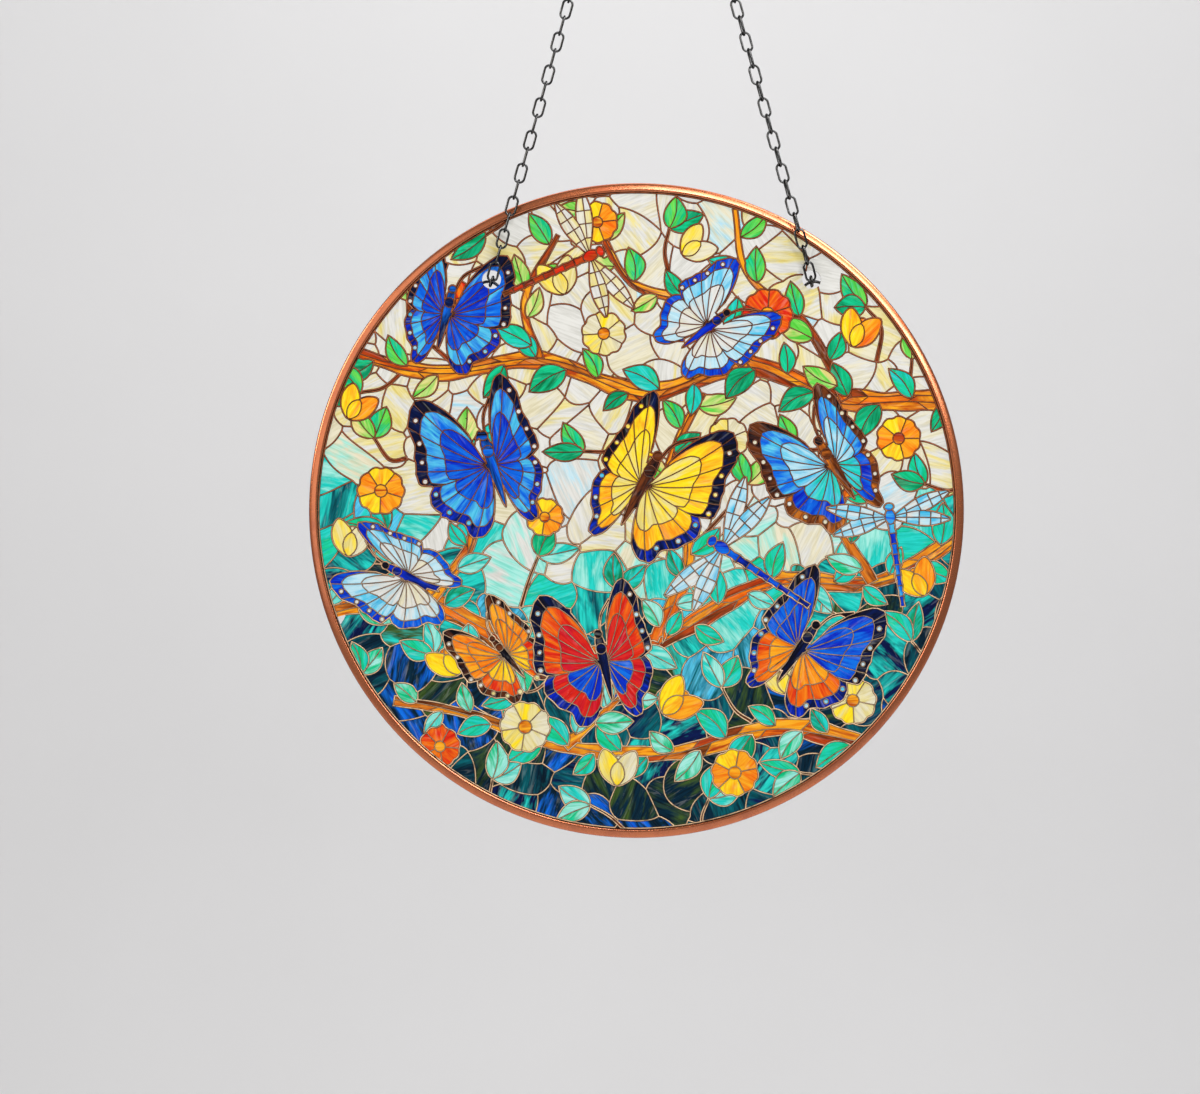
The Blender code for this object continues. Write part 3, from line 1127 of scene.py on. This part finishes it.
for _ in range(PASSES):
    found, patch_of = patches()
    for patch in found:
        if sum(triangle_area(number) for number in patch) > SMALLEST:
            continue
        shared = {}
        for number in patch:
            for other, length in neighbours(number):
                pane_there = top[other]
                if pane_there != top[number] and panes[pane_there]["figure"] != HOLE:
                    shared[pane_there] = shared.get(pane_there, 0) + length
        if shared:
            best = max(shared, key=shared.get)
            for number in patch:
                top[number] = best
found, patch_of = patches()

front, back = panel_low.y, panel_high.y


def on_sheet(point, depth):
    return (sheet_centre.x + point.x * MM, depth, sheet_centre.z + point.y * MM)


def print_sheet():
    """The sheet itself, its front face cut into the picture's panes, which go through to its back."""
    shown = [n for n in range(len(triangles)) if panes[top[n]]["figure"] != HOLE]
    mesh = bpy.data.meshes.new("printed_sheet")
    mesh.from_pydata([on_sheet(corner, front) for corner in corners], [], [triangles[n] for n in shown])
    colour = mesh.color_attributes.new("pane_colour", "FLOAT_COLOR", "CORNER")
    second = mesh.color_attributes.new("pane_second", "FLOAT_COLOR", "CORNER")
    streak = mesh.attributes.new("pane_streak", "FLOAT_VECTOR", "CORNER")
    for face, number in zip(mesh.polygons, shown):
        each = panes[top[number]]
        seed = patch_of[number] * 0.371 % 17
        heading = each["heading"]
        for loop in face.loop_indices:
            colour.data[loop].color = (*each["colour"], 1)
            second.data[loop].color = (*each["second"], 1)
            streak.data[loop].vector = (math.cos(heading), math.sin(heading), seed)
    sheet = bpy.data.objects.new("printed_sheet", mesh)
    bpy.context.collection.objects.link(sheet)
    bpy.ops.object.select_all(action="DESELECT")
    sheet.select_set(True)
    bpy.context.view_layer.objects.active = sheet
    wall = sheet.modifiers.new("thickness", "SOLIDIFY")
    wall.thickness = back - front
    wall.offset = -1
    bpy.ops.object.modifier_apply(modifier=wall.name)
    edit(sheet)
    bpy.ops.mesh.select_all(action="SELECT")
    bpy.ops.mesh.delete_loose()
    bpy.ops.object.mode_set(mode="OBJECT")
    return sheet


DARK_STREAKS = 0.66  # how far a fine streak goes over to the darker shade
MILK = 0.27  # the share of white in a wisp
WISPS = 0.48  # how far a wisp covers the colour
# The strength of the panes' painted glow, standing in for daylight through the sheet.
PAINTED_GLOW = 0.10
GLOSS = 0.18


def art_glass():
    """Milky, streaky colour: each pane's two colours run through each other along its streaks, and the
    sheet gives off its colour as a faint painted glow.
    """
    made = bpy.data.materials.new("streaky_print_with_painted_glow")
    made.use_nodes = True
    tree = made.node_tree
    shader = tree.nodes["Principled BSDF"]
    first = add(tree, "ShaderNodeAttribute", attribute_name="pane_colour").outputs["Color"]
    second = add(tree, "ShaderNodeAttribute", attribute_name="pane_second").outputs["Color"]
    streak = add(tree, "ShaderNodeAttribute", attribute_name="pane_streak").outputs["Vector"]
    heading = add(tree, "ShaderNodeSeparateXYZ", {0: streak}).outputs
    place = add(tree, "ShaderNodeTexCoord").outputs["Object"]
    at = add(tree, "ShaderNodeSeparateXYZ", {0: place}).outputs
    run = maths(
        tree,
        "ADD",
        maths(tree, "MULTIPLY", at["X"], heading["X"]),
        maths(tree, "MULTIPLY", at["Z"], heading["Y"]),
    )
    side = maths(
        tree,
        "SUBTRACT",
        maths(tree, "MULTIPLY", at["Z"], heading["X"]),
        maths(tree, "MULTIPLY", at["X"], heading["Y"]),
    )

    def streaks(run_scale, side_scale, detail, distortion):
        vector = add(
            tree,
            "ShaderNodeCombineXYZ",
            {
                "X": maths(tree, "MULTIPLY", run, run_scale),
                "Y": maths(tree, "MULTIPLY", side, side_scale),
                "Z": heading["Z"],
            },
        )
        noise = add(
            tree,
            "ShaderNodeTexNoise",
            {
                "Vector": vector.outputs[0],
                "Scale": 1.0,
                "Detail": detail,
                "Roughness": 0.6,
                "Distortion": distortion,
            },
        )
        return noise.outputs["Fac"]

    broad = spread(tree, streaks(70.0, 300.0, 3.0, 0.8), 0.43, 0.63)
    fine = streaks(110.0, 1250.0, 4.0, 0.4)
    wisps = spread(tree, streaks(90.0, 560.0, 5.0, 1.2), 0.56, 0.74)
    colour = blended(tree, broad, first, second)
    shade = blended(tree, 1.0, colour, colour, "MULTIPLY")
    dark = maths(tree, "MULTIPLY", spread(tree, fine, 0.58, 0.36), DARK_STREAKS)
    colour = blended(tree, dark, colour, shade)
    milk = blended(tree, MILK, colour, (0.88, 0.90, 0.84, 1))
    colour = blended(tree, maths(tree, "MULTIPLY", wisps, WISPS), colour, milk)
    tree.links.new(colour, shader.inputs["Base Color"])
    # Painted glow: the panes give off their own colour, though the sheet is no lamp.
    tree.links.new(colour, shader.inputs["Emission Color"])
    shader.inputs["Emission Strength"].default_value = PAINTED_GLOW
    shader.inputs["Specular IOR Level"].default_value = GLOSS
    rough = maths(tree, "ADD", 0.10, maths(tree, "MULTIPLY", fine, 0.12))
    tree.links.new(rough, shader.inputs["Roughness"])
    ripple = add(
        tree, "ShaderNodeTexNoise", {"Vector": place, "Scale": 240.0, "Detail": 2.0}
    ).outputs["Fac"]
    relief = add(tree, "ShaderNodeBump", {"Height": ripple, "Strength": 0.10, "Distance": 0.0002})
    tree.links.new(relief.outputs["Normal"], shader.inputs["Normal"])
    return made


sheet = print_sheet()
dressed(sheet, art_glass(), "printed_panel", "printed_panel")


# The lead lines
# Thick ink lines between the panes, printed on both faces and standing a little
# proud, like the lead of real stained glass, with finer dark lines inside the
# figures. Their colour is painted light: near-black painted shade at the feet,
# going over to a painted highlight along the crest, maroon high up and tan low down.

OUTER_HALF = 0.29  # half the width of a line round a figure, in millimetres
INNER_HALF = 0.19  # the same inside a figure
LINE_HEIGHT = 0.16  # over the sheet
LINE_ROOT = 0.12  # how deep a line sits in the sheet
SHARPEST = 2.2  # how far a line's corner may reach, in half widths


def pane_beside(a, b):
    number = beside.get((a, b))
    return None if number is None else top[number]


def edge_of_patch(a, b):
    """Whether another patch, or none, lies over the edge from a to b."""
    over = beside.get((b, a))
    return over is None or patch_of[over] != patch_of[beside[a, b]]


def half_width(a, b):
    """Half the width of the line along an edge, or 0 where there is none."""
    here, there = pane_beside(a, b), pane_beside(b, a)
    if there is None or HOLE in (panes[here]["figure"], panes[there]["figure"]):
        return 0.0
    return INNER_HALF if panes[here]["figure"] == panes[there]["figure"] else OUTER_HALF


def apex(a, b):
    triangle = triangles[beside[a, b]]
    return triangle[(triangle.index(b) + 1) % 3]


def next_edge(a, b):
    """The edge that follows round the same patch."""
    c = apex(a, b)
    while not edge_of_patch(b, c):
        c = apex(c, b)
    return b, c


previous_edge = {next_edge(*edge): edge for edge in beside if edge_of_patch(*edge)}


def normal_left(a, b):
    """The direction to an edge's left, and the one it runs in."""
    along = (corners[b] - corners[a]).normalized()
    return Vector((-along.y, along.x)), along


def line_mesh(name, depth, outward):
    """The lines on one face of the sheet. Each is a low ridge along the edge between two patches."""
    places, kinds, faces, kinds_of_faces = [], [], [], []
    crest, root, end_foot, start_foot = {}, {}, {}, {}

    def corner_at(point, height, kind):
        places.append(on_sheet(point, depth + outward * height * MM))
        kinds.append(kind)
        return len(places) - 1

    edges = [edge for edge in beside if edge_of_patch(*edge)]
    for a, b in edges:
        following = next_edge(a, b)
        before, after = half_width(a, b), half_width(*following)
        if not before and not after:
            continue
        normal, along = normal_left(a, b)
        next_normal, next_along = normal_left(*following)
        if before and after:
            half = (before + after) / 2
            miter = (normal + next_normal) / max(1 + normal.dot(next_normal), 2 / SHARPEST**2)
            foot = corners[b] + miter * half
        elif before:
            foot = corners[b] + next_along * before
        else:
            foot = corners[b] - along * after
        end_foot[a, b] = start_foot[following] = corner_at(foot, 0.0, 0.0)
    for a, b in edges:
        half = half_width(a, b)
        if not half:
            continue
        for corner in (a, b):
            if corner not in crest:
                crest[corner] = corner_at(corners[corner], LINE_HEIGHT, 1.0)
                root[corner] = corner_at(corners[corner], -LINE_ROOT, 0.0)
        start, end = start_foot[a, b], end_foot[a, b]
        fine = half < OUTER_HALF
        faces.append((crest[a], crest[b], end, start))
        faces.append((root[b], root[a], start, end))
        kinds_of_faces += [fine, fine]
        if not half_width(*next_edge(a, b)):
            faces.append((crest[b], root[b], end))
            kinds_of_faces.append(fine)
        if not half_width(*previous_edge[a, b]):
            faces.append((root[a], crest[a], start))
            kinds_of_faces.append(fine)
    mesh = bpy.data.meshes.new(name)
    mesh.from_pydata(places, [], faces)
    # Each corner's share of the painted highlight: 1 on a line's crest, 0 at its feet and root, which get
    # painted shade; the second channel marks a fine line.
    highlight_and_kind = mesh.color_attributes.new("line_highlight_and_kind", "FLOAT_COLOR", "CORNER")
    for face, fine in zip(mesh.polygons, kinds_of_faces):
        for loop in face.loop_indices:
            high = kinds[mesh.loops[loop].vertex_index]
            highlight_and_kind.data[loop].color = (high, float(fine), 0, 1)
    lines = bpy.data.objects.new(name, mesh)
    bpy.context.collection.objects.link(lines)
    edit(lines)
    bpy.ops.mesh.select_all(action="SELECT")
    bpy.ops.mesh.normals_make_consistent(inside=False)
    return placed(lines)


def line_ink_and_painted_light():
    """Glossy brown ink with a metallic bronze sheen, paler low in the picture, with a painted highlight
    along each crest and painted shade at the feet.
    """
    made = bpy.data.materials.new("raised_line_ink_and_painted_light")
    made.use_nodes = True
    tree = made.node_tree
    shader = tree.nodes["Principled BSDF"]
    highlight_and_kind = add(tree, "ShaderNodeAttribute", attribute_name="line_highlight_and_kind").outputs["Color"]
    parts = add(tree, "ShaderNodeSeparateColor", {0: highlight_and_kind}).outputs
    place = add(tree, "ShaderNodeTexCoord").outputs["Object"]
    height = add(tree, "ShaderNodeSeparateXYZ", {0: place}).outputs["Z"]
    low = spread(tree, height, sheet_centre.z + 0.012, sheet_centre.z - 0.035)
    noise = add(tree, "ShaderNodeTexNoise", {"Vector": place, "Scale": 420.0, "Detail": 3.0})
    # Painted light: the crest colour is a painted highlight and the foot colour a painted shade. Rise goes
    # from foot to crest, is weaker on fine lines and is broken by noise.
    crest = blended(tree, low, (0.36, 0.10, 0.03, 1), (0.84, 0.58, 0.35, 1))
    foot = blended(tree, low, (0.035, 0.007, 0.003, 1), (0.050, 0.018, 0.008, 1))
    plain = maths(tree, "SUBTRACT", 1.0, maths(tree, "MULTIPLY", parts["Green"], 0.45))
    rise = maths(tree, "MULTIPLY", spread(tree, parts["Red"], 0.28, 0.72), plain)
    rise = maths(tree, "MULTIPLY", rise, spread(tree, noise.outputs["Fac"], 0.2, 0.5), clamped=True)
    colour = blended(tree, rise, foot, crest)
    tree.links.new(colour, shader.inputs["Base Color"])
    tree.links.new(spread(tree, noise.outputs["Fac"], -0.6, 1.9), shader.inputs["Roughness"])
    shader.inputs["Metallic"].default_value = 0.35
    return made


ink = line_ink_and_painted_light()
for name, depth, outward in (("picture_lines_front", front, -1), ("picture_lines_back", back, 1)):
    lines = line_mesh(name, depth, outward)
    lines.data.materials.append(ink)
    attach(lines, "root")


# The room
# A plain pale floor that sweeps up into a wall, soft lights and a camera that
# looks straight at the front.

FRAME_WIDTH, FRAME_HEIGHT = 1200, 1094
DISC_PIXELS = 655.5
DISC_MIDDLE = (636.5, 510.5)
LENS, SENSOR = 85.0, 36.0
FLOOR_SIZE = 6.0
FLOOR_DROP = 0.7  # below the disc's middle
WALL_BACK = 1.5
WALL_HEIGHT = 4.0
SWEEP = 0.5  # how far the curve from floor to wall reaches
NEAR_FLOOR = 0.1


def make_room():
    floor_z = rim_centre.z - FLOOR_DROP
    bpy.ops.mesh.primitive_plane_add(size=FLOOR_SIZE, location=(0, 0, floor_z))
    room = bpy.context.object
    room.name = room.data.name = "pale_room"
    placed(room)
    edit(room)
    select_corners(room, lambda co: co.y > 0)
    bpy.ops.transform.translate(value=(0, WALL_BACK - FLOOR_SIZE / 2, 0))
    bpy.ops.mesh.extrude_region_move(TRANSFORM_OT_translate={"value": (0, 0, WALL_HEIGHT)})
    select_corners(room, lambda co: co.y > 0 and co.z < floor_z + NEAR_FLOOR)
    bpy.ops.mesh.bevel(offset=SWEEP, segments=16, affect="EDGES")
    placed(room)
    made = bpy.data.materials.new("pale_paint")
    made.use_nodes = True
    tree = made.node_tree
    shader = tree.nodes["Principled BSDF"]
    place = add(tree, "ShaderNodeTexCoord").outputs["Object"]
    noise = add(tree, "ShaderNodeTexNoise", {"Vector": place, "Scale": 3.0, "Detail": 2.0})
    colour = blended(tree, noise.outputs["Fac"], (0.78, 0.78, 0.79, 1), (0.84, 0.84, 0.85, 1))
    tree.links.new(colour, shader.inputs["Base Color"])
    shader.inputs["Roughness"].default_value = 0.9
    room.data.materials.append(made)


def soft_light(name, place, width, height, power, colour=(1, 1, 1), turn=0.0, aim=(0, 0, 0)):
    """A soft light, placed and aimed from the disc's middle and turned about its line of sight."""
    light = bpy.data.lights.new(name, "AREA")
    light.shape = "RECTANGLE"
    light.size, light.size_y = width, height
    light.energy = power
    light.color = colour
    lamp = bpy.data.objects.new(name, light)
    lamp.location = rim_centre + Vector(place)
    lamp.rotation_euler = (Vector(aim) - Vector(place)).to_track_quat("-Z", "Y").to_euler()
    lamp.rotation_euler.rotate_axis("Z", turn)
    bpy.context.scene.collection.objects.link(lamp)


def make_camera():
    pixel = rim_size.x / DISC_PIXELS
    camera = bpy.data.cameras.new("camera")
    camera.lens, camera.sensor_width = LENS, SENSOR
    view = bpy.data.objects.new("camera", camera)
    distance = FRAME_WIDTH * pixel * LENS / SENSOR
    view.location = (
        rim_centre.x + (FRAME_WIDTH / 2 - DISC_MIDDLE[0]) * pixel,
        panel_low.y - distance,
        rim_centre.z + (DISC_MIDDLE[1] - FRAME_HEIGHT / 2) * pixel,
    )
    view.rotation_euler = (math.pi / 2, 0, 0)
    bpy.context.scene.collection.objects.link(view)
    bpy.context.scene.camera = view


make_room()
soft_light("key_upper_right", (0.45, -1.09, 0.65), 0.95, 0.20, 7.4, turn=math.radians(-37))
soft_light("fill_left", (-0.72, -1.04, 0.28), 0.6, 1.1, 2.0, (1.0, 0.92, 0.82))
soft_light("edge_upper_right", (0.58, -0.36, 0.84), 0.5, 0.5, 7.0, (1.0, 0.98, 0.96))
soft_light("edge_left", (-0.92, -0.34, 0.42), 0.3, 0.5, 4.0, (1.0, 0.93, 0.84))
soft_light("wall_wash", (0.0, 0.5, 1.1), 1.2, 1.2, 9.0, aim=(0.0, 1.5, -0.25))
world = bpy.data.worlds.new("room_light")
bpy.context.scene.world = world
world.use_nodes = True
world.node_tree.nodes["Background"].inputs["Color"].default_value = (0.96, 0.96, 0.97, 1)
world.node_tree.nodes["Background"].inputs["Strength"].default_value = 0.27
bpy.context.scene.view_settings.view_transform = "Standard"
make_camera()
